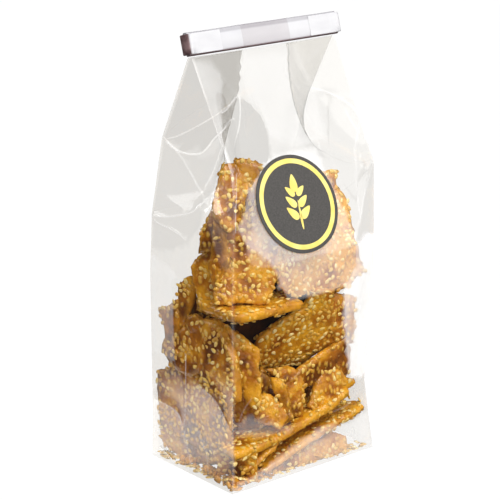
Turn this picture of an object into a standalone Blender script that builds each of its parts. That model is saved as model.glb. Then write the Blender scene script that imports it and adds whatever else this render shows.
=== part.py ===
"""A clear gusseted food bag, filled with broken sesame brittle and standing on its folded base.

Its film is folded into a flat roll at the top, which a tin tie holds, and a round label is stuck on the front
panel. The bag is one closed solid out to its film: the brittle inside shows only through the film.
Metres, +Z up. The origin is the middle of the base, and the front panel faces -Y.
"""

import math

import bpy
from mathutils import Matrix, Vector

# ---- driving dimensions ------------------------------------------------------------------------------------
WIDTH = 0.095           # front and back panels, from fold to fold
DEPTH = 0.065           # side gussets, from fold to fold
NECK_Z = 0.2133         # where the flattened neck enters the roll
NECK_HALF = 0.0015      # half the neck's thickness there
ROLL_HEIGHT = 0.0114    # the film folded over and over, flat
ROLL_HALF = 0.0026      # half the roll's thickness
ROLL_EDGE = 0.0012      # how far the roll's long edges are rounded
ROLL_CORNER = 0.0008    # the same for its upright edges, seen from above
ROLL_START = 0.0008     # the roll's underside, above the neck
ROLL_LEAN = math.radians(16.5)  # how far the roll and its tie lean to the back

TIE_HEIGHT = 0.0098
TIE_THICK = 0.0009
TIE_TAB = 0.0195        # the tie's ends, bent round onto the front
TIE_BEND = 0.0012       # radius of the tie's middle line where it bends
TIE_GAP = 0.0003        # kept between the tie and the roll

LABEL_RADIUS = 0.0250
LABEL_THICK = 0.0004
LABEL_GAP = 0.00035     # kept between the label and the film
LABEL_X, LABEL_Z = -0.0003, 0.1386      # the label's middle
BULGE_Z, SLANT_Z = 0.1160, 0.1612       # under the label, the front slants evenly between these heights

HALF_WIDTH, HALF_DEPTH = WIDTH / 2, DEPTH / 2

# How far the vertical folds stand from the middle plane, as (height, distance). Each fold runs up from the
# base to its shoulder, and from there slants in to the neck.
FRONT_LEFT = [(0, HALF_DEPTH), (0.150, HALF_DEPTH), (0.1635, 0.0303), (NECK_Z, NECK_HALF)]
FRONT_RIGHT = [(0, HALF_DEPTH), (0.038, 0.0300), (0.100, 0.0316), (0.1535, 0.0304), (NECK_Z, NECK_HALF)]
BACK_LEFT = [(0, HALF_DEPTH), (0.100, 0.0322), (0.130, 0.0314), (0.1710, 0.0223), (NECK_Z, NECK_HALF)]
BACK_RIGHT = [(0, HALF_DEPTH), (0.143, HALF_DEPTH), (0.1750, 0.0220), (NECK_Z, NECK_HALF)]
# The same for the middle of the two wide panels: pressed out by the brittle, then slanting in above it.
FRONT_MIDDLE = [(0, HALF_DEPTH), (0.040, 0.0345), (BULGE_Z, 0.0357), (SLANT_Z, 0.0137), (NECK_Z, NECK_HALF)]
BACK_MIDDLE = [(0, HALF_DEPTH), (0.040, 0.0350), (0.1100, 0.0364), (0.1650, 0.0200), (NECK_Z, NECK_HALF)]
# Half the width at the two sides: the right one is drawn in above the base, where nothing fills it.
LEFT_HALF_WIDTH = [(0, 0.0477), (0.028, 0.0472), (0.100, 0.0479), (0.130, 0.0470), (NECK_Z, 0.0470)]
RIGHT_HALF_WIDTH = [(0, HALF_WIDTH), (0.038, 0.0429), (0.060, 0.0437), (0.100, 0.0463), (NECK_Z, 0.0459)]

PLATEAU = 0.52          # the share of a wide panel's half width over which its middle's profile holds
TAKEN_UP = 0.055        # the share by which a side's folds may near each other before its middle folds in
FACET_ANGLE = math.radians(25)          # faces that meet at more than this keep a sharp edge

# The steps across a wide panel, a side, a bend of the tie and a rounded edge of the roll.
MIDDLE_STEPS, SIDE_STEPS, BEND_STEPS, ROUND_STEPS = 16, 10, 5, 3
LABEL_RINGS, LABEL_SEGMENTS = 8, 48
LEVEL_STEP = 0.006      # the steps up the film
FIRST_LEVELS = (0.0, 0.002)             # and its two lowest levels
NORMAL_STEP = 0.0005    # the reach over which the film's direction is taken

# Single dents where the film buckles, as (side, share of the side from front to back, height, depth, reach).
SIDE_DENTS = [(-1, 0.30, 0.058, 0.0012, 0.020), (-1, 0.62, 0.108, 0.0015, 0.022), (1, 0.45, 0.060, 0.0018, 0.026)]


def along(profile, z):
    """The value at height z of a profile given as (height, value) points, straight between them."""
    for (z0, v0), (z1, v1) in zip(profile, profile[1:]):
        if z <= z1:
            return v0 + (v1 - v0) * (z - z0) / (z1 - z0)
    return profile[-1][1]


def plateau(u):
    """1 in the middle of a wide panel, falling smoothly to 0 at its folds, where u is 1 or -1."""
    over = max(0.0, (abs(u) - PLATEAU) / (1 - PLATEAU))
    return 0.5 + 0.5 * math.cos(math.pi * over)


def wide_panel_y(u, z, left, right, middle):
    """How far a wide panel stands from the middle plane, at u from -1 (left fold) to 1 (right fold)."""
    folds = along(left, z) + (along(right, z) - along(left, z)) * (u + 1) / 2
    return folds + (along(middle, z) - folds) * plateau(u)


def half_width(side, z):
    return along(LEFT_HALF_WIDTH if side < 0 else RIGHT_HALF_WIDTH, z)


def wide_point(facing, u, z):
    """A point of the front panel (facing -1) or the back panel (facing 1)."""
    x = u * half_width(-1 if u < 0 else 1, z)
    if facing < 0:
        return Vector((x, -wide_panel_y(u, z, FRONT_LEFT, FRONT_RIGHT, FRONT_MIDDLE), z))
    return Vector((x, wide_panel_y(u, z, BACK_LEFT, BACK_RIGHT, BACK_MIDDLE), z))


def gusset_depth(front_y, back_y):
    """How far a side's middle is folded in: each half of the gusset keeps its own width of film.

    The brittle holds the side flat until its two folds have come nearer by the share TAKEN_UP.
    """
    half_open = (back_y - front_y) / 2 / (1 - TAKEN_UP)
    return math.sqrt(max(0.0, HALF_DEPTH ** 2 - half_open ** 2))


def dent(side, s, z):
    """The depth of the single dents at this place on a side."""
    found = 0.0
    for on_side, at_s, at_z, depth, reach in SIDE_DENTS:
        if on_side == side:
            away = math.hypot((s - at_s) * DEPTH, z - at_z) / reach
            found += depth * max(0.0, 1 - away)
    return found


def side_point(side, s, z):
    """A point of the left (side -1) or right (side 1) gusset, at s from 0 (front fold) to 1 (back fold)."""
    front_y = wide_point(-1, side, z).y
    back_y = wide_point(1, side, z).y
    tent = 1 - abs(2 * s - 1)
    inward = gusset_depth(front_y, back_y) * tent + dent(side, s, z)
    return Vector((side * (half_width(side, z) - inward), front_y + (back_y - front_y) * s, z))


def skin_ring(z):
    """The film's outline at height z, once round from the front left fold."""
    ring = [wide_point(-1, -1 + 2 * i / MIDDLE_STEPS, z) for i in range(MIDDLE_STEPS)]
    ring += [side_point(1, i / SIDE_STEPS, z) for i in range(SIDE_STEPS)]
    ring += [wide_point(1, 1 - 2 * i / MIDDLE_STEPS, z) for i in range(MIDDLE_STEPS)]
    ring += [side_point(-1, 1 - i / SIDE_STEPS, z) for i in range(SIDE_STEPS)]
    return ring


def roll_end(s, half):
    """A point of the roll's right end, seen from above, at s from 0 (front) to 1 (back), with rounded corners."""
    y = half * (2 * s - 1)
    corner = min(ROLL_CORNER, half)
    past = max(0.0, abs(y) - (half - corner))
    return HALF_WIDTH - corner + math.sqrt(corner ** 2 - past ** 2), y


def roll_ring(z, half):
    """The roll's outline at height z, a flat bar with the same number of points as the film's outline."""
    flat = roll_end(0, half)[0]
    front = [Vector((flat * (2 * i / MIDDLE_STEPS - 1), -half, z)) for i in range(MIDDLE_STEPS)]
    right = [Vector((*roll_end(i / SIDE_STEPS, half), z)) for i in range(SIDE_STEPS)]
    return front + right + [Vector((-p.x, -p.y, z)) for p in front + right]


def skin_levels():
    """The heights at which the film is drawn: every height that a profile names, and steps between them."""
    named = set(FIRST_LEVELS)
    for profile in (FRONT_LEFT, FRONT_RIGHT, BACK_LEFT, BACK_RIGHT, FRONT_MIDDLE, BACK_MIDDLE):
        named |= {z for z, _ in profile}
    named = sorted(named)
    kept = [named[0]]
    for z in named[1:]:
        if z - kept[-1] > LEVEL_STEP / 4:
            steps = max(1, round((z - kept[-1]) / LEVEL_STEP))
            low = kept[-1]
            kept += [low + (z - low) * i / steps for i in range(1, steps + 1)]
    return kept


def roll_rings():
    """The roll, from its underside to its top, with its long edges rounded, leaning back over the neck."""
    low, high = ROLL_START, ROLL_START + ROLL_HEIGHT
    rings = []
    for i in range(ROUND_STEPS + 1):
        turn = math.pi / 2 * i / ROUND_STEPS
        inset = ROLL_EDGE * (1 - math.sin(turn))
        rings.append(roll_ring(low + ROLL_EDGE * (1 - math.cos(turn)), ROLL_HALF - inset))
    for i in range(ROUND_STEPS + 1):
        turn = math.pi / 2 * i / ROUND_STEPS
        inset = ROLL_EDGE * (1 - math.cos(turn))
        rings.append(roll_ring(high - ROLL_EDGE * (1 - math.sin(turn)), ROLL_HALF - inset))
    lean = Matrix.Rotation(-ROLL_LEAN, 3, "X")
    return [[lean @ p + Vector((0, 0, NECK_Z)) for p in ring] for ring in rings]


def loft(name, rings, collection):
    """A closed solid through rings of equal length, with flat ends fanned from their middles."""
    count = len(rings[0])
    points = [p for ring in rings for p in ring]
    faces = []
    for r in range(len(rings) - 1):
        for i in range(count):
            j = (i + 1) % count
            faces.append((r * count + i, r * count + j, (r + 1) * count + j, (r + 1) * count + i))
    for ring, turned in ((0, True), (len(rings) - 1, False)):
        middle = len(points)
        points.append(sum(rings[ring], Vector()) / count)
        for i in range(count):
            a, b = ring * count + i, ring * count + (i + 1) % count
            faces.append((middle, b, a) if turned else (middle, a, b))
    mesh = bpy.data.meshes.new(name)
    mesh.from_pydata(points, [], faces)
    mesh.validate()
    obj = bpy.data.objects.new(name, mesh)
    collection.objects.link(obj)
    return obj


def make_bag(collection):
    return loft("bag", [skin_ring(z) for z in skin_levels()] + roll_rings(), collection)


def tie_path():
    """The middle line of the tie, seen from above: from its front left tab, round the back, to the right one."""
    x_out = HALF_WIDTH + TIE_GAP + TIE_THICK / 2
    y_out = ROLL_HALF + TIE_GAP + TIE_THICK / 2
    path = [Vector((TIE_TAB - x_out, -y_out, 0))]
    for x_side, y_side, start in ((-1, -1, 270), (-1, 1, 180), (1, 1, 90), (1, -1, 0)):
        centre = Vector((x_side * (x_out - TIE_BEND), y_side * (y_out - TIE_BEND), 0))
        for i in range(BEND_STEPS + 1):
            angle = math.radians(start - 90 * i / BEND_STEPS)
            path.append(centre + TIE_BEND * Vector((math.cos(angle), math.sin(angle), 0)))
    path.append(Vector((x_out - TIE_TAB, -y_out, 0)))
    return path


def make_tie(collection):
    """The tin tie: a strip standing on edge along its path."""
    path = tie_path()
    sides = [[], []]
    for i, point in enumerate(path):
        ahead = (path[min(i + 1, len(path) - 1)] - path[max(i - 1, 0)]).normalized()
        across = Vector((-ahead.y, ahead.x, 0)) * TIE_THICK / 2
        sides[0].append(point + across)
        sides[1].append(point - across)
    outline = sides[0] + sides[1][::-1]
    curve = bpy.data.curves.new("tie", "CURVE")
    curve.dimensions = "2D"
    curve.fill_mode = "BOTH"
    curve.extrude = TIE_HEIGHT / 2
    spline = curve.splines.new("POLY")
    spline.points.add(len(outline) - 1)
    for target, point in zip(spline.points, outline):
        target.co = (*point, 1)
    spline.use_cyclic_u = True
    obj = bpy.data.objects.new("tie", curve)
    to_middle = Matrix.Translation((0, 0, ROLL_START + ROLL_HEIGHT / 2))
    obj.matrix_world = Matrix.Translation((0, 0, NECK_Z)) @ Matrix.Rotation(-ROLL_LEAN, 4, "X") @ to_middle
    collection.objects.link(obj)
    return obj


def front_normal(u, z):
    """The outward direction of the front panel."""
    across = wide_point(-1, u + NORMAL_STEP / HALF_WIDTH, z) - wide_point(-1, u - NORMAL_STEP / HALF_WIDTH, z)
    upward = wide_point(-1, u, z + NORMAL_STEP) - wide_point(-1, u, z - NORMAL_STEP)
    return across.cross(upward).normalized()


def label_point(distance, angle):
    """A point of the film under the label, at a distance from its middle along the slanting panel."""
    run = along(FRONT_MIDDLE, BULGE_Z) - along(FRONT_MIDDLE, SLANT_Z)
    rise = SLANT_Z - BULGE_Z
    x = LABEL_X + distance * math.cos(angle)
    z = LABEL_Z + distance * math.sin(angle) * rise / math.hypot(run, rise)
    return wide_point(-1, x / half_width(-1 if x < 0 else 1, z), z)


def make_label(collection):
    """The round label, a thin disc that lies on the front panel and bends with it."""
    rings, segments = LABEL_RINGS, LABEL_SEGMENTS
    middle_normal = front_normal(0, LABEL_Z)
    points = []
    for lift in (LABEL_GAP, LABEL_GAP + LABEL_THICK):
        points.append(label_point(0, 0) + middle_normal * lift)
        for r in range(1, rings + 1):
            for i in range(segments):
                place = label_point(LABEL_RADIUS * r / rings, 2 * math.pi * i / segments)
                points.append(place + middle_normal * lift)
    half = len(points) // 2
    faces = []
    for i in range(segments):
        j = (i + 1) % segments
        faces.append((0, 1 + j, 1 + i))
        faces.append((half, half + 1 + i, half + 1 + j))
        for r in range(rings - 1):
            a, b = 1 + r * segments + i, 1 + r * segments + j
            c, d = a + segments, b + segments
            faces.append((a, b, d, c))
            faces.append((half + a, half + c, half + d, half + b))
        rim_a, rim_b = 1 + (rings - 1) * segments + i, 1 + (rings - 1) * segments + j
        faces.append((rim_a, rim_b, half + rim_b, half + rim_a))
    mesh = bpy.data.meshes.new("label")
    mesh.from_pydata(points, [], faces)
    mesh.validate()
    obj = bpy.data.objects.new("label", mesh)
    collection.objects.link(obj)
    return obj


def finish(obj, name, colour, roughness, metallic):
    """Gives the object its own plain material, and shades it smooth up to its creases."""
    material = bpy.data.materials.new(name)
    material.use_nodes = True
    shader = material.node_tree.nodes["Principled BSDF"]
    shader.inputs["Base Color"].default_value = (*colour, 1)
    shader.inputs["Roughness"].default_value = roughness
    shader.inputs["Metallic"].default_value = metallic
    obj.data.materials.append(material)
    if obj.type == "MESH":
        obj.data.shade_smooth()
        obj.data.set_sharp_from_angle(angle=FACET_ANGLE)


def main():
    for obj in list(bpy.data.objects):
        bpy.data.objects.remove(obj)
    collection = bpy.data.collections.new("brittle_bag")
    bpy.context.scene.collection.children.link(collection)
    finish(make_bag(collection), "filled_film", (0.72, 0.45, 0.16), 0.15, 0.0)
    finish(make_tie(collection), "tie_strip", (0.75, 0.74, 0.75), 0.30, 0.6)
    finish(make_label(collection), "label_paper", (0.11, 0.11, 0.10), 0.45, 0.0)


main()
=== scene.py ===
"""A clear gusseted bag of broken sesame brittle: the film, its roll, tie and label, and the pieces inside it.

The film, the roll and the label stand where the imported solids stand, and the brittle fills the space that the
`bag` solid holds. Lengths are in millimetres up to the moment that a mesh is made, which is in metres.
"""

import math
import random

import bpy
import numpy as np
from mathutils import Matrix, Vector, noise
from mathutils.bvhtree import BVHTree
from mathutils.geometry import delaunay_2d_cdt


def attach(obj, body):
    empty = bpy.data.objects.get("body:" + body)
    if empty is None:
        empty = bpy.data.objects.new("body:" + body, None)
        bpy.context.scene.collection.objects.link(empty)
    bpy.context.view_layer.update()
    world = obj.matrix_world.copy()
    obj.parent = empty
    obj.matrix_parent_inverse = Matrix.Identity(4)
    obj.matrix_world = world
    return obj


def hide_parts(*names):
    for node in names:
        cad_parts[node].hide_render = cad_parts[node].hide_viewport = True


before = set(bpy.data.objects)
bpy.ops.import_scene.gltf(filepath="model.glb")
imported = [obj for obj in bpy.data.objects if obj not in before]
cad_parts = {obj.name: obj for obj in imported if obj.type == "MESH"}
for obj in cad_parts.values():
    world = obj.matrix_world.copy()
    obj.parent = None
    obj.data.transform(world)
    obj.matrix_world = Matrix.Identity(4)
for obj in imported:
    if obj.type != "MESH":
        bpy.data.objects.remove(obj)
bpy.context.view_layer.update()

MM = 0.001

# ---- the camera --------------------------------------------------------------------------------------------
CAMERA_AZIMUTH, CAMERA_ELEVATION, CAMERA_ROLL = -40.17, 16.84, 0.13
CAMERA_DISTANCE = 969.9
CAMERA_AIM = (-5.5, 4.6, 109.3)
CAMERA_LENS, CAMERA_SENSOR = 138.4, 36.0

# ---- the film: the shape that the bag's solid has ------------------------------------------------------------
WIDTH, DEPTH = 95.0, 65.0
HALF_WIDTH, HALF_DEPTH = WIDTH / 2, DEPTH / 2
NECK_Z, NECK_HALF = 213.3, 1.5
FRONT_LEFT = [(0, HALF_DEPTH), (150, HALF_DEPTH), (163.5, 30.3), (NECK_Z, NECK_HALF)]
FRONT_RIGHT = [(0, HALF_DEPTH), (38, 30.0), (100, 31.6), (153.5, 30.4), (NECK_Z, NECK_HALF)]
BACK_LEFT = [(0, HALF_DEPTH), (100, 32.2), (130, 31.4), (171, 22.3), (NECK_Z, NECK_HALF)]
BACK_RIGHT = [(0, HALF_DEPTH), (143, HALF_DEPTH), (175, 22.0), (NECK_Z, NECK_HALF)]
FRONT_MIDDLE = [(0, HALF_DEPTH), (40, 34.5), (116, 35.7), (161.2, 13.7), (NECK_Z, NECK_HALF)]
BACK_MIDDLE = [(0, HALF_DEPTH), (40, 35.0), (110, 36.4), (165, 20.0), (NECK_Z, NECK_HALF)]
LEFT_HALF_WIDTH = [(0, 47.7), (28, 47.2), (100, 47.9), (130, 47.0), (NECK_Z, 47.0)]
RIGHT_HALF_WIDTH = [(0, HALF_WIDTH), (38, 42.9), (60, 43.7), (100, 46.3), (NECK_Z, 45.9)]
PLATEAU = 0.52
TAKEN_UP = 0.055
SOFT_BEND = 5.0         # the wide panels' middles bend over this much height
FILM_WAVE = 0.22        # how far the film waves in and out

FOLD_STEP = 2.0         # spacing of the film's corners along its folds
FOLD_LINES = (0.6, 2.0)  # and how far from them its next two rows are
FILM_STEP = 3.0         # and inside its panels
CREASE_STEP = 1.6       # and along a crease
CREASE_HALF = 0.7       # half the width of a crease's bead

# Creases, as (depth outward, reach, sharpness, points). A crease stands out by its depth and falls off evenly to
# nothing at its reach, so the film beside it is flat. A sharp one has a bead along it that catches the light.
# Points are (across, height): across is x on the wide panels, and on a side it is the way round from its middle.
FRONT_CREASES = [
    (0.15, 9, 0.1, [(-15, 212), (-17, 203), (-22, 192)]),
    (0.25, 8, 0.55, [(-22, 192), (-23, 184), (-27, 175), (-37, 168), (-43, 159), (-45.6, 146), (-45.8, 135)]),
    (0.2, 5, 0.5, [(-24, 192.5), (-31, 188.5), (-39, 188)]),
    (0.2, 5, 0.5, [(-28, 183), (-38, 182), (-44.5, 180.5)]),
    (-0.4, 14, 0.0, [(-21, 194), (-15, 188), (-10, 182), (-9, 176), (-13, 170), (-22, 165), (-31, 158)]),
    (0.25, 10, 0.1, [(-32, 205), (-27, 198), (-22, 192)]),
    (0.15, 9, 0.2, [(14, 212), (12.5, 203), (13, 194)]),
    (0.3, 10, 0.3, [(13, 194), (22, 191), (32, 188), (42, 181), (45, 175)]),
    (0.3, 10, 0.25, [(13, 194), (17, 184), (22, 174), (24, 160)]),
    (0.2, 9, 0.1, [(13, 194), (24, 203), (36, 211)]),
    (0.5, 8, 0.2, [(44, 172), (39, 161), (37, 147), (36, 127)]),
    (0.5, 7, 0.25, [(45, 153), (40, 137), (36, 125)]),
    (0.6, 6, 0.15, [(-46, 33), (-42, 42), (-37, 48)]),
    (0.6, 6, 0.3, [(-46, 33), (-34, 31), (-27, 33)]),
    (0.5, 8, 0.2, [(42, 38), (30, 30), (18, 28)]),
    (0.4, 7, 0.5, [(8, 12), (13, 9), (16, 4), (15, 1.5)]),
]
LEFT_CREASES = [
    (0.8, 8, 0.7, [(31, 171), (26, 166.5), (20, 164), (14, 163.5), (9, 165), (5, 172), (-1, 181)]),
    (0.6, 8, 0.5, [(29, 171), (23, 173), (11, 181), (4, 187)]),
    (0.8, 8, 0.6, [(30, 170), (20, 162), (14, 156), (5, 149), (-2, 145.5), (-6, 144)]),
    (0.7, 5, 0.9, [(31, 130), (24, 130.5), (17, 132), (8, 135), (0, 138), (-6, 142)]),
    (0.7, 5, 0.9, [(31, 130), (27, 127), (16, 126), (8, 124.5), (4, 123)]),
    (0.8, 7, 0.5, [(-8, 130), (-12.5, 141), (-11, 148), (-9, 158), (-13, 166)]),
    (0.5, 7, 0.4, [(-6, 144), (-14, 152), (-20, 163), (-25, 170)]),
    (0.4, 7, 0.15, [(13, 99), (13.5, 80), (13, 57)]),
    (0.4, 6, 0.55, [(4, 62), (4.5, 44), (5, 25)]),
    (0.6, 6, 0.55, [(29, 32), (18, 31.5), (11, 30), (6, 24), (3, 15), (-1, 3)]),
    (0.7, 5, 1.0, [(25, 6.5), (18, 4.5), (11, 1)]),
    (0.5, 7, 0.25, [(-31, 33), (-20, 45), (-8, 50)]),
    (0.4, 5, 0.4, [(-6, 26), (-12, 15), (-14, 4)]),
]
RIGHT_CREASES = [
    (0.8, 9, 0.24, [(-30, 154), (-18, 150), (-4, 152), (8, 160), (20, 170), (30, 176)]),
    (0.8, 9, 0.2, [(-29, 150), (-14, 138), (2, 128), (18, 124), (30, 126)]),
    (0.7, 8, 0.16, [(-30, 38), (-14, 46), (0, 44), (14, 50), (30, 48)]),
    (0.5, 7, 0.12, [(-6, 100), (-3, 84), (-5, 66)]),
    (0.6, 6, 0.16, [(26, 8), (14, 12), (2, 5)]),
]
BACK_CREASES = [
    (0.8, 10, 0.2, [(-16, 211), (-14, 198), (-24, 188), (-36, 180), (-44, 172)]),
    (0.8, 10, 0.2, [(-14, 198), (-6, 186), (2, 176), (5, 164)]),
    (0.7, 9, 0.2, [(17, 211), (20, 197), (30, 188), (43, 178)]),
    (0.7, 10, 0.12, [(20, 197), (16, 184), (6, 176), (-6, 166)]),
    (0.6, 9, 0.16, [(45, 144), (30, 140), (14, 134), (-8, 136), (-28, 132), (-45, 131)]),
    (0.5, 8, 0.12, [(-45, 40), (-30, 48), (-20, 44)]),
    (0.5, 8, 0.12, [(44, 36), (28, 42), (10, 38)]),
]
BEAD = 0.32             # the height of the sharpest crease's bead
CREASE_WHITE_AND_HIGHLIGHT = 0.42     # and how white it is: partly the film's own whitening at a crease, partly painted highlight
# Patches of the film, as (how cloudy it is, outline), in the same terms as the creases. Some are where the film is
# doubled or rubbed;
# others are painted reflection, a glowing white that stands for the sheen of light on the film. A share under 0 is
# where it is greyer and mirrors less: partly the extra layers folded in there, partly painted shade.
FRONT_MILKY_AND_PAINTED_LIGHT = [
    (0.20, [(-50, -3), (50, -3), (50, 21), (30, 17), (12, 20), (-4, 16), (-20, 10), (-34, 5), (-50, 3)]),
    (0.09, [(-50, 36), (-38, 38), (-27, 33), (-12, 26), (-26, 27), (-50, 33)]),
    (0.19, [(-22, 152), (-32, 144), (-43, 135.5), (-38, 127), (-31, 122), (-22, 113), (-19.5, 103.5), (-12.5, 96.5),
            (5, 94.5), (17, 95), (24, 97), (30, 104), (30, 118), (20, 160), (-10, 160)]),
    (0.07, [(-15, 213), (16, 213), (25, 190), (27, 166), (12, 165), (-6, 172), (-8, 184), (-14, 192), (-18, 203)]),
    (0.15, [(-50, 213), (-44, 211), (-32, 204.5), (-36, 193), (-41, 185), (-45, 179), (-46, 168), (-45, 160),
            (-50, 158)]),
    (-0.75, [(-23, 192), (-16, 188), (-10, 181.5), (-8.5, 177), (-8, 170), (-9, 163), (-13, 157), (-23, 153),
             (-33, 154), (-42, 160), (-44, 172), (-31, 181)]),
    (0.34, [(25, 112), (23.5, 92), (24, 76), (27, 58), (31, 44), (50, 38), (50, 118)]),
]
LEFT_MILKY_AND_PAINTED_LIGHT = [
    (0.07, [(40, 53), (14, 50), (3, 47), (-8, 44), (-14, 36), (-20, 20), (-24, 4), (-24, -3), (40, -3)]),
    (0.18, [(40, 60), (13, 57), (13.5, 80), (13, 104), (40, 110)]),
    (0.07, [(-20, 40), (-10, 44), (-14, 30), (-20, 14), (-24, -3), (-40, -3), (-40, 30)]),
    (-0.95, [(40, 214), (40, 166), (30, 171), (20, 164), (9, 165), (0, 176), (-14, 176), (-40, 158), (-40, 214)]),
    (-0.6, [(40, 166), (30, 171), (20, 164), (9, 165), (0, 176), (-14, 176), (-11, 156), (-6, 132), (4, 122),
             (16, 116), (40, 112)]),
    (0.05, [(-12, 156), (-22, 152), (-40, 150), (-40, 112), (-22, 118), (-14, 134)]),
]
RIGHT_MILKY_AND_PAINTED_LIGHT = [
    (0.25, [(-40, 42), (-10, 46), (12, 40), (40, 44), (40, -3), (-40, -3)]),
]
BACK_MILKY_AND_PAINTED_LIGHT = [
    (0.25, [(-50, 34), (-20, 40), (16, 34), (50, 40), (50, -3), (-50, -3)]),
]
# How white each fold is, as (height, share): partly whitening from being pressed, partly painted highlight.
FOLD_WHITE_AND_HIGHLIGHT = [(0, 0.25), (30, 0.10), (120, 0.06), (150, 0.10), (175, 0.14), (NECK_Z, 0.14)]

# ---- the roll and the tie ------------------------------------------------------------------------------------
ROLL_HEIGHT, ROLL_HALF, ROLL_START = 11.4, 2.6, 0.8
ROLL_LEAN = math.radians(16.5)
# The roll's colour from its lower crease to its top one: darkened along the lower crease and grey over the top band,
# both painted shade.
ROLL_PAINTED_SHADE = [(0.0, (0.16, 0.09, 0.09)), (0.045, (0.30, 0.20, 0.20)), (0.10, (0.92, 0.91, 0.92)), (0.5, (1, 1, 1)),
              (0.76, (0.97, 0.97, 0.98)), (0.83, (0.68, 0.67, 0.69)), (1.0, (0.68, 0.67, 0.69))]
SEAM_X = 15.0           # the gussets reach to here inside the roll, on both sides
TIE_HEIGHT, TIE_THICK, TIE_THIN = 9.8, 0.9, 0.05
TIE_TAB, TIE_BEND, TIE_GAP = 19.5, 1.2, 0.3

# ---- the label -------------------------------------------------------------------------------------------------
LABEL_RADIUS, LABEL_Z = 25.0, 138.6
LABEL_X = -0.3
LABEL_LEAN = (161.2 - 116.0, 35.7 - 13.7)     # the film under it goes back by the second over the first
LABEL_STRETCH = math.hypot(*LABEL_LEAN) / LABEL_LEAN[0]     # a length along the film to one height
LABEL_GAP, LABEL_THICK = 0.35, 0.4
RING_OUT, RING_IN = 23.1, 20.6
FOIL_THICK = 0.05
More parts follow.
